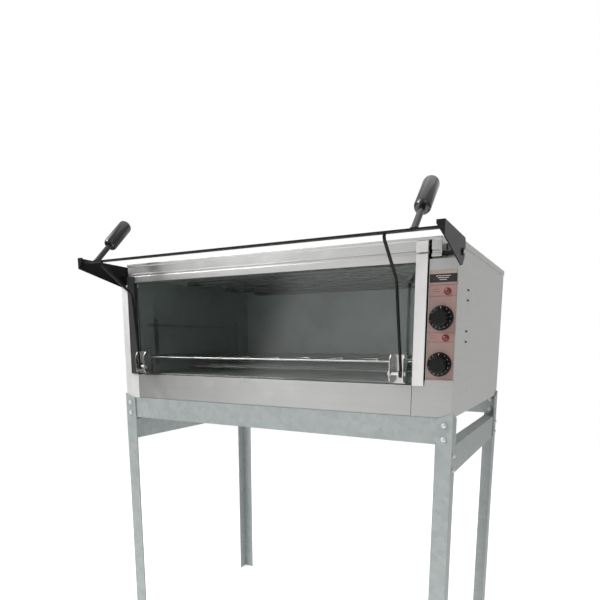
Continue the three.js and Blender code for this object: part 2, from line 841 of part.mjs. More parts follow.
function handleRod(x) {
  const start = onHandle(-14);
  const end = onHandle(HANDLE_REACH - GRIP_LEN + GRIP_BORE - 1);
  const bar = rod([x, ...start], [x, ...end], HANDLE_DIA / 2, 24);
  return cut(bar, box(x - 30, x + 30, -220, -80, BAR_TOP - 40, BAR_TOP + FIT));
}

// Moulded grip with a bore for its rod, chamfered below and domed at the end.
function grip(x) {
  const r = GRIP_DIA / 2;
  const bore = HANDLE_DIA / 2 + FIT;
  const moulded = lathe(
    [
      [0, GRIP_BORE],
      [bore, GRIP_BORE],
      [bore, 0],
      [r - 4.5, 0],
      [r - 1.5, 3],
      [r, 8],
      [r, GRIP_LEN - 10],
      [r - 1.2, GRIP_LEN - 5.5],
      [r - 4.5, GRIP_LEN - 1.8],
      [r - 9, GRIP_LEN],
      [0, GRIP_LEN],
    ],
    32,
  );
  const lean = new THREE.Matrix4().makeRotationX(HANDLE_TILT);
  const [y, z] = onHandle(HANDLE_REACH - GRIP_LEN);
  return moulded.applyMatrix4(lean).translate(x, y, z);
}

piece(door, "glass_pane", glassPane(), "glass");
piece(door, "clamp_bracket_left", clampBracket(BRACKET_LEFT), "stainless");
piece(
  door,
  "clamp_bracket_right",
  clampBracket(MIRROR_X - BRACKET_LEFT - BRACKET_W),
  "stainless",
);
piece(door, "strut_left", strut(false), "blackSteel");
piece(door, "strut_right", strut(true), "blackSteel");
piece(door, "lever_plate_left", leverPlate(false), "blackSteel");
piece(door, "lever_plate_right", leverPlate(true), "blackSteel");
piece(door, "lever_bar", leverBar(), "blackSteel");
piece(door, "handle_rod_left", handleRod(HANDLE_INSET), "blackSteel");
piece(door, "handle_rod_right", handleRod(BODY_W - HANDLE_INSET), "blackSteel");
piece(door, "grip_left", grip(HANDLE_INSET), "blackPlastic");
piece(door, "grip_right", grip(BODY_W - HANDLE_INSET), "blackPlastic");

// The finished frame: middle of the whole object's footprint, on the floor.
const extent = new THREE.Box3().setFromObject(oven);
oven.position.set(-(extent.min.x + extent.max.x) / 2, -(extent.min.y + extent.max.y) / 2, STAND_H);

export default oven;
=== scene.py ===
# %% [markdown]
# # An electric deck oven on its bolted stand
# The oven is folded stainless sheet round a dark steel chamber. A glass front hangs from a black
# lever frame with two upright grips, and the whole stands on four lengths of galvanised angle.
# Every sheet, rod and bolt already exists as a solid in the frame. This lesson gives each of them
# its finish, and adds the small fittings that only matter to the eye.

import math

import bmesh
import bpy
from mathutils import Matrix, Vector


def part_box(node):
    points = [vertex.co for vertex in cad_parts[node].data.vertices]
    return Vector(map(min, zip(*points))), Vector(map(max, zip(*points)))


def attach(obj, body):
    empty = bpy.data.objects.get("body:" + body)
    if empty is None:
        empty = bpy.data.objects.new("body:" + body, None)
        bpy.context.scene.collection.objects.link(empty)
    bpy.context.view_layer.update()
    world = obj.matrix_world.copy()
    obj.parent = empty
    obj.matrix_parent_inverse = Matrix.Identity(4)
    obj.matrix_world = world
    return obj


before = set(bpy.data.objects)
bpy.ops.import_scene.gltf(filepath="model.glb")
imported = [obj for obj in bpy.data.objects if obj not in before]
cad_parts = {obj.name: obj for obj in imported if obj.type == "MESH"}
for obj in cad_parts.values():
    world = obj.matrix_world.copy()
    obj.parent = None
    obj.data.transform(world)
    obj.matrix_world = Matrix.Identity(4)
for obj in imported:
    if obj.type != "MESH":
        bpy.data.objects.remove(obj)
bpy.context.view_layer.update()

# %% [markdown]
# ## Lengths and colours
# The frame is in metres, while a fitter thinks in millimetres, so `MM` turns one into the other.
# Colours are easiest to name as a paint chart does, from 0 to 255, but a shader adds up light, so
# `chart` takes the curve of a screen out of them.

# %% Millimetres and paint-chart colours
MM = 0.001


def chart(red, green, blue):
    """A colour named from 0 to 255, as the light that a shader works with."""

    def as_light(step):
        share = step / 255
        return share / 12.92 if step < 11 else ((share + 0.055) / 1.055) ** 2.4

    return tuple(as_light(step) for step in (red, green, blue))


print("a mid grey lets back", round(chart(128, 128, 128)[0], 3), "of the light")

# %% [markdown]
# ## Camera
# An oven of this size is looked at by someone standing a step to the right of it, with the eyes
# just under its roof line. The view points slightly down, and the lens is shifted up so that the
# handles and the top of the stand both fit, with upright edges that hardly lean.

# %% Set up the camera
LOOKS_DOWN, TURNED_LEFT = math.radians(9.6), math.radians(28.6)
camera_data = bpy.data.cameras.new("viewer")
camera_data.sensor_width = 36
camera_data.lens = 31.71
camera_data.shift_y = 0.2167
camera_data.clip_start = 0.01
camera = bpy.data.objects.new("viewer", camera_data)
camera.location = (0.761, -1.4303, 0.9726)
camera.rotation_euler = (math.radians(90) - LOOKS_DOWN, 0, TURNED_LEFT)
bpy.context.scene.collection.objects.link(camera)
bpy.context.scene.camera = camera
print("lens", round(camera_data.lens, 2), "mm, eye", round(camera.location.length, 2), "m away")

# %% [markdown]
# ## Writing finishes as sums
# A finish is a net of shader nodes. Drawing the net by hand hides the idea, so two small classes
# let it be written as ordinary sums. `Flow` is whatever comes out of a socket: adding or
# multiplying two of them adds the node that does it. `Bench` is the tree being worked on, and its
# one method adds every other kind of node.

# %% The two helper classes
class Flow:
    """What comes out of one shader socket, ready for arithmetic."""

    def __init__(self, bench, socket):
        self.bench = bench
        self.socket = socket

    def joined(self, operation, first, second):
        many = any(
            isinstance(v, tuple) or (isinstance(v, Flow) and v.socket.type in {"VECTOR", "RGBA"})
            for v in (first, second)
        )
        if many:
            first = (first,) * 3 if isinstance(first, (int, float)) else first
            second = (second,) * 3 if isinstance(second, (int, float)) else second
        kind = "ShaderNodeVectorMath" if many else "ShaderNodeMath"
        return self.bench.node(kind, {"operation": operation}, {0: first, 1: second})

    def __add__(self, other):
        return self.joined("ADD", self, other)

    def __radd__(self, other):
        return self.joined("ADD", other, self)

    def __sub__(self, other):
        return self.joined("SUBTRACT", self, other)

    def __rsub__(self, other):
        return self.joined("SUBTRACT", other, self)

    def __mul__(self, other):
        return self.joined("MULTIPLY", self, other)

    def __rmul__(self, other):
        return self.joined("MULTIPLY", other, self)

    def __gt__(self, other):
        return self.joined("GREATER_THAN", self, other)

    def __lt__(self, other):
        return self.joined("LESS_THAN", self, other)

    def __abs__(self):
        return self.bench.node("ShaderNodeMath", {"operation": "ABSOLUTE"}, {0: self})


class Bench:
    """The node tree of one finish, and the one way to put a node in it."""

    def __init__(self, tree):
        self.tree = tree

    def node(self, kind, settings=(), sockets=(), out=0):
        made = self.tree.nodes.new(kind)
        for name, value in dict(settings).items():
            setattr(made, name, value)
        for name, value in dict(sockets).items():
            socket = made.inputs[name]
            if isinstance(value, Flow):
                self.tree.links.new(value.socket, socket)
            elif socket.type == "RGBA" and len(value) == 3:
                socket.default_value = (*value, 1)
            else:
                socket.default_value = value
        return Flow(self, made.outputs[out]) if len(made.outputs) else None


print("shader sums ready")

# %% [markdown]
# ## Patterns that every finish shares
# Real surfaces differ at three scales: the grain left by the belt or the mould, the smears of
# cloths and hands, and the slow change over a whole sheet. Each is a noise, measured in the
# oven's own metres, so it neither slides nor stretches when a part moves. Brushed grain is the
# same noise pulled out along one direction.

# %% Places, noises and blends
def place(bench):
    """Where a point lies on the oven, in metres."""
    return bench.node("ShaderNodeTexCoord", out="Object")


def noise(bench, where, size, detail=2.0, stretch=(1, 1, 1)):
    """A cloudy value from 0 to 1, whose lumps are about size metres across."""
    sockets = {"Vector": where * stretch, "Scale": 1 / size, "Detail": detail, "Roughness": 0.55}
    return bench.node("ShaderNodeTexNoise", {"noise_dimensions": "3D"}, sockets)


def eased(bench, value, low, high):
    """0 below low, 1 above high, with a soft step between."""
    sockets = {"Value": value, "From Min": low, "From Max": high}
    return bench.node("ShaderNodeMapRange", {"interpolation_type": "SMOOTHSTEP"}, sockets)


def blend(bench, share, first, second):
    """A colour that turns from first to second as share goes from 0 to 1."""
    sockets = {0: share, 6: first, 7: second}
    return bench.node("ShaderNodeMix", {"data_type": "RGBA"}, sockets, out=2)


def dented(bench, height, depth, strength=1.0):
    """A surface normal that follows a height, where 1 stands depth metres proud."""
    sockets = {"Height": height, "Distance": depth, "Strength": strength}
    return bench.node("ShaderNodeBump", sockets=sockets)


def new_finish(name):
    """An empty material and the bench it is written on."""
    material = bpy.data.materials.new(name)
    material.use_nodes = True
    material.node_tree.nodes.clear()
    return material, Bench(material.node_tree)


def close_finish(bench, **sockets):
    """Ends a finish with one surface shader: base_color means the socket Base Color, and so on."""
    named = {}
    for key, value in sockets.items():
        named[key.replace("_", " ").title().replace("Ior", "IOR")] = value
    surface = bench.node("ShaderNodeBsdfPrincipled", sockets=named)
    bench.node("ShaderNodeOutputMaterial", sockets={"Surface": surface})


print("patterns ready")

# %% [markdown]
# ## Brushed stainless sheet
# Kitchen stainless is rubbed with a belt, always along the sheet, so its grain is hair-thin
# across and centimetres long. Cleaning adds smears that dull it in patches. One function makes
# every version: the sheets differ in the way the belt ran, and in their colour. Part of that
# colour is painted light and shade: the left side and the right strip are painted lighter as a
# painted highlight, and the lower front and control fascia are painted darker as painted shade.
# `streak` stretches each highlight across the grain. Its direction is measured round the oven's
# upright axis, which suits upright sheets. On a level roof it would draw a bow tie of light, so
# the roof's finish leaves it out.

# %% Stainless steel
ALONG_X = (0.02, 1, 1)
ALONG_Y = (1, 0.02, 1)
ALONG_Z = (1, 1, 0.02)


def stainless(name, grain, shade, gloss, streak=0.75, tooth=0.012 * MM):
    """Brushed steel: grain is its direction, tooth its depth, gloss its least roughness."""
    material, bench = new_finish(name)
    where = place(bench)
    hairs = noise(bench, where, 0.5 * MM, 3.0, grain)
    bands = noise(bench, where, 9 * MM, 2.0, grain)
    smears = noise(bench, where, 0.13, 3.0)
    rubbed = eased(bench, noise(bench, where, 0.035, 4.0), 0.52, 0.75)
    tone = hairs * 0.35 + bands * 0.4 + smears * 0.25
    dark = tuple(c * 0.86 for c in shade)
    light = tuple(min(1.0, c * 1.1) for c in shade)
    close_finish(
        bench,
        base_color=blend(bench, tone, dark, light),
        metallic=1.0,
        anisotropic=streak,
        anisotropic_rotation=0.25,
        roughness=gloss + hairs * 0.1 + smears * 0.08 + rubbed * 0.05,
        normal=dented(bench, hairs + bands * 0.5, tooth, 0.4),
    )
    return material


BELT_RUNS = {
    "side_sheet": (ALONG_Y, (0.56, 0.56, 0.555), 0.34),
    "fascia_sheet": (ALONG_X, (0.56, 0.56, 0.555), 0.22, 0.45, 0.003 * MM),
    # Painted highlight: the left side sheet is painted lighter than the right one, standing for the
    # light from the left.
    "left_side_painted_highlight": (ALONG_Y, (0.86, 0.86, 0.85), 0.3),
    # Painted highlight: the right strip and its cap are painted lighter than the other sheets,
    # standing for the light they catch.
    "strip_painted_highlight": (ALONG_Z, (0.80, 0.795, 0.79), 0.24, 0.3),
    # Painted shade: the lower front and control fascia are painted darker than the other sheets,
    # standing for the shade on them.
    "front_painted_shade": (ALONG_X, (0.43, 0.43, 0.427), 0.26),
    "roof_sheet": (ALONG_X, (0.62, 0.62, 0.615), 0.34, 0.0),
    "clamp_sheet": (ALONG_Z, (0.62, 0.62, 0.615), 0.16),
}
finishes = {name: stainless(name, *run) for name, run in BELT_RUNS.items()}
print("stainless finishes:", sorted(finishes))

# %% [markdown]
# ## The steel inside the chamber
# The liner never sees a belt or a polish. Heat has left it a dull grey with a faint green cast,
# browner in cloudy patches where fat has baked on. Broad noise makes the cloudy oxide, and a fine
# noise the rolled surface.

# %% Chamber steel, heating rods and chrome wire
def baked_steel(name, clean, burnt, roughness, metallic):
    """Steel that has been hot many times over."""
    material, bench = new_finish(name)
    where = place(bench)
    clouds = noise(bench, where, 0.16, 4.0)
    specks = noise(bench, where, 3 * MM, 3.0)
    baked = eased(bench, clouds * 0.8 + specks * 0.2, 0.42, 0.72)
    close_finish(
        bench,
        base_color=blend(bench, baked, clean, burnt),
        metallic=metallic,
        roughness=roughness + specks * 0.12 + clouds * 0.1,
        normal=dented(bench, specks, 0.05 * MM, 0.5),
    )
    return material


BAKED = {
    "liner_steel": ((0.52, 0.565, 0.55), (0.41, 0.44, 0.43), 0.5, 0.8),
    "deck_steel": ((0.28, 0.30, 0.29), (0.15, 0.15, 0.14), 0.38, 0.8),
    # Painted dark reflection: the left frame strip is steel painted near black, standing for the
    # dark reflection and shade on it, not for burnt or tinted steel.
    "left_strip_painted_dark_reflection": ((0.07, 0.074, 0.073), (0.045, 0.046, 0.046), 0.3, 0.7),
    "heater_steel": ((0.12, 0.13, 0.125), (0.07, 0.06, 0.055), 0.5, 0.6),
    "chrome_wire": ((0.42, 0.42, 0.415), (0.3, 0.295, 0.28), 0.24, 1.0),
}
finishes.update({name: baked_steel(name, *looks) for name, looks in BAKED.items()})
print("finishes now:", len(finishes))

# %% [markdown]
# ## Galvanised angle and plated bolts
# Hot-dip zinc freezes into flakes, each catching the light its own way. A Voronoi pattern gives
# every flake one random value, which changes its colour and its gloss a little. Bright-plated
# bolts use the same pattern with finer flakes and less roughness.

# %% Zinc
def zinc(name, flake, dull, bright, roughness):
    """Zinc whose flakes are about flake metres across."""
    material, bench = new_finish(name)
    where = place(bench)
    wander = noise(bench, where, 0.01, 2.0) * 0.004
    sockets = {"Vector": where + wander, "Scale": 1 / flake}
    cells = bench.node("ShaderNodeTexVoronoi", {"feature": "F1"}, sockets, out="Color")
    tone = bench.node("ShaderNodeSeparateColor", sockets={"Color": cells})
    stains = noise(bench, where, 0.09, 4.0)
    grit = noise(bench, where, 0.8 * MM, 2.0)
    close_finish(
        bench,
        base_color=blend(bench, tone * 0.55 + stains * 0.45, dull, bright),
        metallic=0.25,
        specular_ior_level=0.25,
        roughness=roughness + tone * 0.08 + stains * 0.08,
        normal=dented(bench, grit + tone * 0.4, 0.04 * MM, 0.6),
    )
    return material


finishes["zinc_angle"] = zinc("zinc_angle", 0.014, (0.30, 0.335, 0.335), (0.40, 0.435, 0.43), 0.46)
finishes["bright_zinc"] = zinc("bright_zinc", 0.003, (0.5, 0.51, 0.5), (0.68, 0.69, 0.68), 0.24)
print("finishes now:", len(finishes))

# %% [markdown]
# ## Black paint, black grips and black knobs
# The lever frame is mild steel under black enamel: a little orange peel, hairline scratches, and
# bare metal where hands and tools have chipped it. The grips and knobs are moulded, so they have
# no chips, only fine flow marks and a film of dust and fingerprints that changes the gloss. The
# handle rods share the grips' thick lacquer, while the knobs have almost none.

# %% Enamel and moulded black
def enamel(name):
    """Black stoving enamel on steel, chipped here and there."""
    material, bench = new_finish(name)
    where = place(bench)
    peel = noise(bench, where, 1.6 * MM, 2.0)
    dust = noise(bench, where, 0.05, 4.0)
    chips = eased(bench, noise(bench, where, 2.2 * MM, 4.0), 0.73, 0.76)
    scratch = eased(bench, noise(bench, where, 0.6 * MM, 1.0, (0.05, 0.6, 1)), 0.74, 0.8)
    bare = chips + scratch * 0.35
    black = blend(bench, dust, (0.006, 0.0062, 0.0065), (0.014, 0.014, 0.0138))
    close_finish(
        bench,
        base_color=blend(bench, bare, black, (0.32, 0.31, 0.3)),
        metallic=bare * 0.8,
        roughness=0.26 + dust * 0.14 + peel * 0.06,
        specular_ior_level=0.2,
        normal=dented(bench, peel - chips, 0.06 * MM, 0.5),
    )
    return material


def moulded(name, shade, gloss, shine, lacquer):
    """Moulded plastic with flow marks: shine is its own gloss, lacquer the clear coat's share."""
    material, bench = new_finish(name)
    where = place(bench)
    flow = noise(bench, where, 1.2 * MM, 3.0, (1, 1, 0.25))
    film = noise(bench, where, 0.02, 4.0)
    worn = tuple(c * 2.2 for c in shade)
    close_finish(
        bench,
        base_color=blend(bench, eased(bench, film, 0.35, 0.8), shade, worn),
        roughness=gloss + film * 0.14 + flow * 0.04,
        specular_ior_level=shine,
        coat_weight=lacquer,
        coat_roughness=0.08,
        normal=dented(bench, flow, 0.03 * MM, 0.5),
    )
    return material


finishes["black_enamel"] = enamel("black_enamel")
finishes["grip_moulding"] = moulded("grip_moulding", (0.006, 0.006, 0.0065), 0.09, 0.45, 1.0)
finishes["knob_moulding"] = moulded("knob_moulding", (0.002, 0.0022, 0.0024), 0.12, 0.18, 0.12)
print("finishes now:", len(finishes))

# %% [markdown]
# ## Glass, lamp lenses and the printed plate
# The front is one toughened pane. It is clear glass with a faint green cast and a film of grease
# that blurs it in patches. Lamps must light what is behind it, so the pane casts no shadow. The
# lamp lenses are red, and lit only by the room. The plate beside the knobs is printed: the bands
# are worked out from the height of each point, in the order a printer would lay them down, and
# its black band carries three plain bars instead of any name.

# %% Glass and lenses
def clear_glass(name):
    """A toughened pane with a greasy film."""
    material, bench = new_finish(name)
    film = noise(bench, place(bench), 0.07, 5.0)
    close_finish(
        bench,
        base_color=(0.90, 0.935, 0.925),
        transmission_weight=1.0,
        ior=1.5,
        roughness=eased(bench, film, 0.45, 0.9) * 0.05,
    )
    return material


def red_lens(name):
    """A ribbed red lens over a lamp that is off."""
    material, bench = new_finish(name)
    where = place(bench)
    ribs = noise(bench, where, 1.1 * MM, 1.0)
    close_finish(
        bench,
        base_color=blend(bench, ribs, chart(92, 24, 20), chart(128, 44, 38)),
        roughness=0.22 + ribs * 0.1,
        coat_weight=0.6,
        normal=dented(bench, ribs, 0.2 * MM, 0.7),
    )
    return material


finishes["pane_glass"] = clear_glass("pane_glass")
finishes["lamp_lens"] = red_lens("lamp_lens")
print("finishes now:", len(finishes))

# %% The printed plate
BODY_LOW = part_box("back_panel")[0].z
plate_low, plate_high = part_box("label_plate")
plate_middle = (plate_low.x + plate_high.x) / 2


HEAD, BLACK_BAND = (315, 323), (297.5, 315.5)
UPPER_LAMP, LOWER_LAMP = (268.5, 292), (170, 189)
RULES = (292, 268, 189.5, 169.5, 88)
CAPTIONS = (283, 278, 183, 178)
CAPTION_ACROSS, CAPTION_HALF = -15, 8


def printed_plate(name):
    """Pinkish plate with a beige head, a black band, and ruled lines round each lamp."""
    material, bench = new_finish(name)
    where = place(bench)
    apart = {"Vector": where}
    height = bench.node("ShaderNodeSeparateXYZ", sockets=apart, out="Z")
    across = bench.node("ShaderNodeSeparateXYZ", sockets=apart, out="X")

    def band(low, high, value=height):
        return (value > low) * (value < high)

    def rise(mm):
        return BODY_LOW + mm * MM

    ink = chart(58, 42, 40)
    fade = noise(bench, where, 0.03, 3.0)
    colour = blend(bench, fade, chart(142, 117, 111), chart(160, 131, 125))
    for low, high in (UPPER_LAMP, LOWER_LAMP):
        colour = blend(bench, band(rise(low), rise(high)), colour, chart(158, 121, 116))
    colour = blend(bench, band(rise(HEAD[0]), rise(HEAD[1])), colour, chart(160, 145, 136))
    for mark in RULES:
        colour = blend(bench, band(rise(mark - 0.4), rise(mark + 0.4)), colour, ink)
    colour = blend(bench, band(rise(BLACK_BAND[0]), rise(BLACK_BAND[1])), colour, chart(24, 21, 21))
    for step, half in enumerate((16, 12, 8)):
        bar = band(rise(310.5 - 4 * step), rise(311.8 - 4 * step))
        bar = bar * (abs(across - plate_middle) < half * MM)
        colour = blend(bench, bar, colour, chart(196, 190, 184))
    caption_middle = plate_middle + CAPTION_ACROSS * MM
    for mark in CAPTIONS:
        line = band(rise(mark - 0.35), rise(mark + 0.35))
        line = line * (abs(across - caption_middle) < CAPTION_HALF * MM)
        colour = blend(bench, line, colour, ink)
    scuffs = eased(bench, noise(bench, where, 1.5 * MM, 3.0, (0.4, 1, 1)), 0.68, 0.8)
    close_finish(
        bench,
        base_color=blend(bench, scuffs * 0.5, colour, chart(205, 195, 188)),
        roughness=0.3 + fade * 0.15 + scuffs * 0.2,
        normal=dented(bench, fade + scuffs, 0.03 * MM, 0.4),
    )
    return material


finishes["printed_plate"] = printed_plate("printed_plate")
print("finishes now:", len(finishes))

# %% [markdown]
# ## Giving each solid its finish
# A folded sheet has no knife edge: the press leaves a small radius, and that radius is what
# catches a line of light. The solids arrive as loose triangles with sharp edges, so a small
# geometry net welds them and shades round parts smooth, and a bevel then breaks the real edges.

# %% Soft edges
def smoothing_net(degrees):
    """A geometry net that welds the triangles and shades smooth across any angle under degrees."""
    net = bpy.data.node_groups.new(f"weld_and_shade_{degrees}", "GeometryNodeTree")
    net.interface.new_socket("Geometry", in_out="INPUT", socket_type="NodeSocketGeometry")
    net.interface.new_socket("Geometry", in_out="OUTPUT", socket_type="NodeSocketGeometry")
    entry = net.nodes.new("NodeGroupInput")
    leave = net.nodes.new("NodeGroupOutput")
    weld = net.nodes.new("GeometryNodeMergeByDistance")
    weld.inputs["Distance"].default_value = 0.01 * MM
    faces = net.nodes.new("GeometryNodeSetShadeSmooth")
    edges = net.nodes.new("GeometryNodeSetShadeSmooth")
    edges.domain = "EDGE"
    edges.inputs["Shade Smooth"].default_value = False
    angle = net.nodes.new("GeometryNodeInputMeshEdgeAngle")
    sharp = net.nodes.new("FunctionNodeCompare")
    sharp.operation = "GREATER_THAN"
    sharp.inputs["B"].default_value = math.radians(degrees)
    net.links.new(entry.outputs[0], weld.inputs["Geometry"])
    net.links.new(weld.outputs[0], faces.inputs["Geometry"])
    net.links.new(faces.outputs[0], edges.inputs["Geometry"])
    net.links.new(angle.outputs["Unsigned Angle"], sharp.inputs["A"])
    net.links.new(sharp.outputs[0], edges.inputs["Selection"])
    net.links.new(edges.outputs[0], leave.inputs[0])
    return net


weld_and_shade = smoothing_net(38)


def soften(solid, edge):
    """Welds and shades one object, and rounds its edges by edge metres where that isn't 0."""
    facets = solid.data.attributes.get("custom_normal")
    if facets:
        solid.data.attributes.remove(facets)
    if edge:
        solid.modifiers.new("weld", "WELD").merge_threshold = 0.01 * MM
        rounding = solid.modifiers.new("rounded_edge", "BEVEL")
        rounding.width = edge
        rounding.segments = 2
        rounding.limit_method = "ANGLE"
        rounding.angle_limit = math.radians(38)
        rounding.use_clamp_overlap = True
    shading = solid.modifiers.new("shading", "NODES")
    shading.node_group = weld_and_shade
    if edge:
        solid.modifiers.new("flat_faces", "WEIGHTED_NORMAL").keep_sharp = True


def finish_nodes(names, finish, edge):
    """Puts one finish and one edge radius on several solids."""
    for name in names:
        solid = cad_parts[name]
        for slot in solid.material_slots:
            slot.material = finishes[finish]
        soften(solid, edge)


ENDS = ("left", "right")
CORNERS = [f"{depth}_{end}" for depth in ("front", "rear") for end in ENDS]
# The left side carries a painted highlight: its steel is painted lighter than the right side's.
finish_nodes(["side_panel_left"], "left_side_painted_highlight", 0.35 * MM)
finish_nodes(["side_panel_right"], "side_sheet", 0.35 * MM)
finish_nodes(["back_panel", "base_pan", "roof_panel"], "roof_sheet", 0.35 * MM)
finish_nodes(["top_fascia"], "fascia_sheet", 0.3 * MM)
# The right strip and cap carry a painted highlight: their steel is painted lighter than the other
# sheets.
finish_nodes(["frame_strip_right", "strip_cap"], "strip_painted_highlight", 0.4 * MM)
# The left strip carries a painted dark reflection: its steel is painted near black to stand for the
# shade and dark reflection on it.
finish_nodes(["frame_strip_left"], "left_strip_painted_dark_reflection", 0.4 * MM)
# The lower front and control fascia carry painted shade: their steel is painted darker than the
# other sheets.
finish_nodes(["lower_front_panel", "control_fascia"], "front_painted_shade", 0.35 * MM)
finish_nodes([f"clamp_bracket_{end}" for end in ENDS], "clamp_sheet", 0.25 * MM)
finish_nodes(["liner_wrap", "liner_back"], "liner_steel", 0)
finish_nodes(["deck_plate"], "deck_steel", 0.3 * MM)
finish_nodes(["element_upper", "element_lower"], "heater_steel", 0)
finish_nodes(["wire_rack", "rack_guide_left", "rack_guide_right"], "chrome_wire", 0)
finish_nodes([f"leg_{corner}" for corner in CORNERS], "zinc_angle", 0.5 * MM)
finish_nodes([f"rail_{side}" for side in ("front", "rear", *ENDS)], "zinc_angle", 0.5 * MM)
finish_nodes([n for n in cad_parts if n.startswith("bolt_")], "bright_zinc", 0.25 * MM)
finish_nodes([f"lever_plate_{end}" for end in ENDS], "black_enamel", 0.5 * MM)
finish_nodes(["lever_bar", "strut_left", "strut_right"], "black_enamel", 0.4 * MM)
finish_nodes([f"handle_rod_{end}" for end in ENDS], "grip_moulding", 0)
finish_nodes([f"grip_{end}" for end in ENDS], "grip_moulding", 0)
finish_nodes(["knob_upper", "knob_lower"], "knob_moulding", 0.3 * MM)
finish_nodes(["pilot_lamp_upper", "pilot_lamp_lower"], "lamp_lens", 0)
finish_nodes(["glass_pane"], "pane_glass", 0.4 * MM)
finish_nodes(["label_plate"], "printed_plate", 0)
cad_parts["glass_pane"].visible_shadow = False
bare_nodes = [n for n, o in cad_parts.items() if not o.modifiers]
print("solids still without a finish:", bare_nodes)

# %% [markdown]
# ## Small turned fittings
# Screws, weld beads and dial prints are too small to matter to the machine, but the eye expects
# them. Each is drawn as a mesh in code. `turned` spins a profile round an axis, the way a lathe
# would, and `fitted` hands the finished mesh to the part of the oven that carries it.

# %% Helpers for fittings
def turned(profile, steps=24):
    """A mesh spun round Z from pairs of radius and height, closed where the radius is 0."""
    mesh = bmesh.new()
    rings = []
    for radius, height in profile:
        if radius == 0:
            rings.append([mesh.verts.new((0, 0, height))])
            continue
        ring = []
        for k in range(steps):
            turn = 2 * math.pi * k / steps
            ring.append(mesh.verts.new((radius * math.cos(turn), radius * math.sin(turn), height)))
        rings.append(ring)
    for low, high in zip(rings, rings[1:]):
        for k in range(steps):
            after = (k + 1) % steps
            loop = [low[k % len(low)], low[after % len(low)]]
            loop += [high[after % len(high)], high[k % len(high)]]
            mesh.faces.new(list(dict.fromkeys(loop)))
    bmesh.ops.recalc_face_normals(mesh, faces=mesh.faces)
    return mesh


def fitted(name, mesh, finish, body, edge=0):
    """A piece of the oven made from a bmesh, riding on a body."""
    data = bpy.data.meshes.new(name)
    mesh.to_mesh(data)
    mesh.free()
    data.materials.append(finishes[finish])
    piece = bpy.data.objects.new(name, data)
    bpy.context.scene.collection.objects.link(piece)
    soften(piece, edge)
    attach(piece, body)
    return piece


def facing(direction, at):
    """A matrix that stands a fitting drawn along +Z on a face, pointing out along direction."""
    return Matrix.Translation(at) @ Vector(direction).to_track_quat("Z", "Y").to_matrix().to_4x4()


print("fitting helpers ready")

# %% [markdown]
# ## Panel screws
# The outer sheets are held by pan-head screws. The head is a low dome with a cross recess. The
# recess is modelled: the top ring of the dome is pulled in to a cross-shaped hole, which is then
# pushed down, so it shades by itself from any side.

# %% Draw one screw and place it
SCREW_HEAD = 3.4 * MM
PIVOT_HEAD = 3.6 * MM
SCREW_INSET = 12 * MM
SIDE_RISES = (54 * MM, 309 * MM)


def screw_head(radius):
    """A pan head whose crown is sunk along a cross."""
    tall = radius * 0.55
    skirt = [(radius, 0), (radius, tall * 0.35)]
    dome = [(radius * 0.86, tall * 0.8), (radius * 0.62, tall), (0, tall)]
    mesh = turned(skirt + dome, 32)
    crown = [f for f in mesh.faces if f.calc_center_median().z > tall * 0.99]
    for face in crown:
        for vert in face.verts:
            turn = math.atan2(vert.co.y, vert.co.x)
            if vert.co.to_2d().length > 0:
                lobe = abs(math.cos(2 * turn))
                reach = radius * (0.2 + 0.42 * lobe**3)
                vert.co.x = reach * math.cos(turn)
                vert.co.y = reach * math.sin(turn)
    sunk = bmesh.ops.extrude_face_region(mesh, geom=crown)["geom"]
    bmesh.ops.delete(mesh, geom=crown, context="FACES")
    moved = [v for v in sunk if isinstance(v, bmesh.types.BMVert)]
    bmesh.ops.translate(mesh, verts=moved, vec=(0, 0, -tall * 0.5))
    bmesh.ops.recalc_face_normals(mesh, faces=mesh.faces)
    return mesh


def screw(name, at, direction, body, radius=SCREW_HEAD, spin=0.0):
    """One screw standing on a face."""
    mesh = screw_head(radius)
    stand = facing(direction, at) @ Matrix.Rotation(spin, 4, "Z")
    bmesh.ops.transform(mesh, matrix=stand, verts=mesh.verts)
    return fitted(name, mesh, "bright_zinc", body)


SIGNS = (("left", -1), ("right", 1))
side_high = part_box("side_panel_right")[1]
for end, sign in SIGNS:
    face_x = sign * side_high.x
    for index, rise in enumerate(SIDE_RISES):
        at = (face_x, side_high.y - SCREW_INSET, BODY_LOW + rise)
        screw(f"side_screw_{end}_{index + 1}", at, (sign, 0, 0), "cabinet", spin=0.4 + index)

BACK_EDGE, BACK_ROWS, BACK_MIDDLE = 0.48, (0.82, 1.165), 0.99
back_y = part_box("back_panel")[1].y
back_places = [(x, z) for x in (-BACK_EDGE, 0, BACK_EDGE) for z in BACK_ROWS]
back_places += [(-BACK_EDGE, BACK_MIDDLE), (BACK_EDGE, BACK_MIDDLE)]
for index, (x, z) in enumerate(back_places):
    screw(f"back_screw_{index + 1}", (x, back_y, z), (0, 1, 0), "cabinet", spin=0.7 * index)

PIVOT_BEHIND, PIVOT_RISE, LEVER_OUTSIDE = 10 * MM, 360 * MM, 6.3 * MM
front_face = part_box("control_fascia")[0].y
for end, sign in SIGNS:
    at = (sign * (side_high.x + LEVER_OUTSIDE), front_face + PIVOT_BEHIND, BODY_LOW + PIVOT_RISE)
    screw(f"pivot_screw_{end}", at, (sign, 0, 0), "glass_front", PIVOT_HEAD, 0.3)

# %% [markdown]
# ## Weld beads under the handles
# The two upright rods are welded to the flat lever bar. A weld is a row of overlapping ripples,
# so the bead is a ring whose thickness rises and falls, painted over with the same enamel.

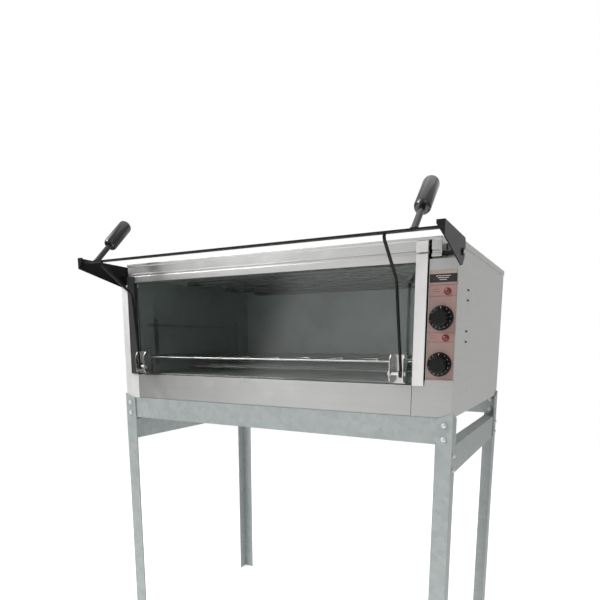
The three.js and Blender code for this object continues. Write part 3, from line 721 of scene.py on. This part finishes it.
# %% Weld beads
def bead(radius, thick, ripples=14, steps=84, sides=8):
    """A rippled ring lying in XY."""
    mesh = bmesh.new()
    rings = []
    for k in range(steps):
        turn = 2 * math.pi * k / steps
        wave = 1 + 0.16 * math.sin(ripples * turn) + 0.06 * math.sin(5 * turn + 1)
        ring = []
        for s in range(sides):
            angle = 2 * math.pi * s / sides
            out = radius + thick * wave * math.cos(angle)
            up = thick * wave * math.sin(angle)
            ring.append(mesh.verts.new((out * math.cos(turn), out * math.sin(turn), up)))
        rings.append(ring)
    for k in range(steps):
        here, there = rings[k], rings[(k + 1) % steps]
        for s in range(sides):
            mesh.faces.new([here[s], here[(s + 1) % sides], there[(s + 1) % sides], there[s]])
    bmesh.ops.recalc_face_normals(mesh, faces=mesh.faces)
    return mesh


bar_low, bar_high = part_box("lever_bar")
for end in ENDS:
    rod_low, rod_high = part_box(f"handle_rod_{end}")
    rod_x, bar_y = (rod_low.x + rod_high.x) / 2, (bar_low.y + bar_high.y) / 2
    foot = Vector((rod_x, bar_y, bar_high.z + 0.6 * MM))
    mesh = bead(7.6 * MM, 1.5 * MM)
    bmesh.ops.transform(mesh, matrix=Matrix.Translation(foot), verts=mesh.verts)
    fitted(f"handle_weld_{end}", mesh, "black_enamel", "glass_front")
print("weld beads done")

# %% [markdown]
# ## Dial prints on the knobs
# Each knob turns its own scale: short strokes and the numbers 50 to 300 on the sloping skirt, in
# white. The strokes and numbers are thin sheets laid on the cone of the skirt, so each point's
# depth is worked out from its distance to the middle of the knob.

# %% Dial prints
RING_INNER, RING_OUTER = 20 * MM, 24.3 * MM
SKIRT_FACE = 8 * MM


def laid_on_skirt(mesh, middle, lift):
    """Pushes flat artwork drawn in X and Z on to the sloping ring of a knob."""
    for vert in mesh.verts:
        radius = math.hypot(vert.co.x, vert.co.z)
        slope = (radius - RING_INNER) / (RING_OUTER - RING_INNER) * MM
        vert.co.y = -SKIRT_FACE + slope - lift
    bmesh.ops.translate(mesh, verts=mesh.verts, vec=middle)


def stroke(mesh, turn, inner, outer, half):
    """One printed stroke pointing away from the middle of the dial."""
    along = Vector((math.sin(turn), 0, math.cos(turn)))
    beside = Vector((along.z, 0, -along.x)) * half
    near, far = along * inner, along * outer
    corners = [near - beside, far - beside, far + beside, near + beside]
    mesh.faces.new([mesh.verts.new(c) for c in corners])


def number_mesh(text, height):
    """The outline of a number as a flat mesh in X and Z."""
    words = bpy.data.curves.new("number", "FONT")
    words.body = text
    words.size = height
    words.align_x = "CENTER"
    words.align_y = "CENTER"
    words.resolution_u = 2
    holder = bpy.data.objects.new("number", words)
    bpy.context.scene.collection.objects.link(holder)
    graph = bpy.context.evaluated_depsgraph_get()
    flat = bpy.data.meshes.new_from_object(holder.evaluated_get(graph))
    bpy.data.objects.remove(holder)
    return flat


def white_print():
    """Screen-printed white, thin enough in places for the black to grin through."""
    material, bench = new_finish("dial_white")
    wear = eased(bench, noise(bench, place(bench), 0.7 * MM, 3.0), 0.6, 0.75)
    close_finish(
        bench,
        base_color=blend(bench, wear * 0.6, chart(168, 168, 163), chart(60, 60, 60)),
        roughness=0.42 + wear * 0.2,
    )
    return material


finishes["dial_white"] = white_print()
FIRST_MARK, DIAL_SWEEP = 35, 290
LABEL_THICK = 2 * MM
for name in ("knob_upper", "knob_lower"):
    knob_low, knob_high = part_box(name)
    knob_x, knob_z = (knob_low.x + knob_high.x) / 2, (knob_low.z + knob_high.z) / 2
    middle = Vector((knob_x, front_face - LABEL_THICK, knob_z))
    mesh = bmesh.new()
    for k in range(13):
        turn = math.radians(FIRST_MARK + DIAL_SWEEP * k / 12)
        long = k % 2 == 0
        stroke(mesh, turn, (20.6 if long else 22.6) * MM, 23.9 * MM, (0.28 if long else 0.16) * MM)
    for k in range(6):
        turn = math.radians(FIRST_MARK + DIAL_SWEEP * (4 * k + 2) / 24)
        digits = number_mesh(str(50 * (k + 1)), 2.7 * MM)
        lift = Vector((math.sin(turn), 0, math.cos(turn))) * 21.6 * MM
        upright = Matrix.Rotation(math.pi / 2, 4, "X")
        digits.transform(Matrix.Translation(lift) @ Matrix.Rotation(turn, 4, "Y") @ upright)
        mesh.from_mesh(digits)
        bpy.data.meshes.remove(digits)
    stroke(mesh, 0, 20.4 * MM, 24 * MM, 0.7 * MM)
    laid_on_skirt(mesh, middle, 0.06 * MM)
    fitted(f"{name}_scale", mesh, "dial_white", f"{name}_body")
print("dial prints done")

# %% [markdown]
# ## Floor and light
# A product is lit with big soft sources, and here the steel is a mirror for all of them. The room
# is bright in front and to the left, and greyer behind, which is what grades the front from
# bright to dull and leaves the right side an even grey. The floor is pale and fades away into the
# white of the room.

# %% Floor
def pale_floor():
    """Near-white painted floor that fades out with distance."""
    material, bench = new_finish("studio_floor")
    where = place(bench)
    cloud = noise(bench, where, 0.5, 3.0)
    reach = bench.node("ShaderNodeVectorMath", {"operation": "LENGTH"}, {0: where}, out="Value")
    close_finish(
        bench,
        base_color=blend(bench, cloud, (0.86, 0.86, 0.855), (0.9, 0.9, 0.895)),
        roughness=0.6 + cloud * 0.1,
        emission_color=(1, 1, 1),
        emission_strength=0.55,
        alpha=1 - eased(bench, reach, 1.6, 4.6),
    )
    return material


finishes["studio_floor"] = pale_floor()
mesh = turned([(6.0, 0.0), (3.0, 0.0), (0, 0.0)], 64)
data = bpy.data.meshes.new("floor")
mesh.to_mesh(data)
mesh.free()
data.materials.append(finishes["studio_floor"])
floor = bpy.data.objects.new("floor", data)
bpy.context.scene.collection.objects.link(floor)
floor.location.z = -0.5 * MM
print("floor laid")

# %% Room light
def lit_room():
    """White to the eye; to the steel, brighter ahead and to the left and grey behind."""
    world = bpy.data.worlds.new("studio")
    world.use_nodes = True
    world.node_tree.nodes.clear()
    bench = Bench(world.node_tree)
    ray = bench.node("ShaderNodeTexCoord", out="Generated")

    def heading(azimuth, rise):
        """1 straight along a compass direction and rise in degrees, falling to -1 behind it."""
        flat = math.cos(math.radians(rise))
        turn = math.radians(azimuth)
        way = (flat * math.cos(turn), flat * math.sin(turn), math.sin(math.radians(rise)))
        aim = {0: ray, 1: way}
        return bench.node("ShaderNodeVectorMath", {"operation": "DOT_PRODUCT"}, aim, out="Value")

    light = 0.32 + eased(bench, heading(215, 40), 0.84, 1.0) * 3.4
    light = light + eased(bench, heading(253, -3), 0.94, 0.974) * 0.65
    light = light + eased(bench, heading(0, 90), 0.2, 0.9) * 0.2
    light = light + eased(bench, heading(75, 5), 0.8, 1.0) * 0.3
    shade = eased(bench, heading(222, 8), 0.94, 0.965)
    light = light * (1 - shade * 0.75)
    seen = bench.node("ShaderNodeLightPath", out="Is Camera Ray")
    warm_white = {"Color": (1, 0.995, 0.985), "Strength": light}
    room = bench.node("ShaderNodeBackground", sockets=warm_white)
    white = bench.node("ShaderNodeBackground", sockets={"Color": (1, 1, 1), "Strength": 1.0})
    both = bench.node("ShaderNodeMixShader", sockets={0: seen, 1: room, 2: white})
    bench.node("ShaderNodeOutputWorld", sockets={"Surface": both})
    bpy.context.scene.world = world


def softbox(name, at, aim, size, power):
    """A square soft light."""
    data = bpy.data.lights.new(name, "AREA")
    data.size = size
    data.energy = power
    lamp = bpy.data.objects.new(name, data)
    lamp.location = at
    lamp.rotation_euler = (Vector(aim) - Vector(at)).to_track_quat("-Z", "Y").to_euler()
    bpy.context.scene.collection.objects.link(lamp)


lit_room()
softbox("key_light", (-2.3, -2.7, 3.0), (0, 0, 1.0), 1.1, 42)
softbox("fill_light", (2.9, -2.6, 3.2), (0, 0, 0.95), 2.0, 8)
softbox("top_light", (0.2, 0.6, 3.6), (0, 0, 1.0), 2.4, 8)
bpy.context.scene.view_settings.view_transform = "Standard"
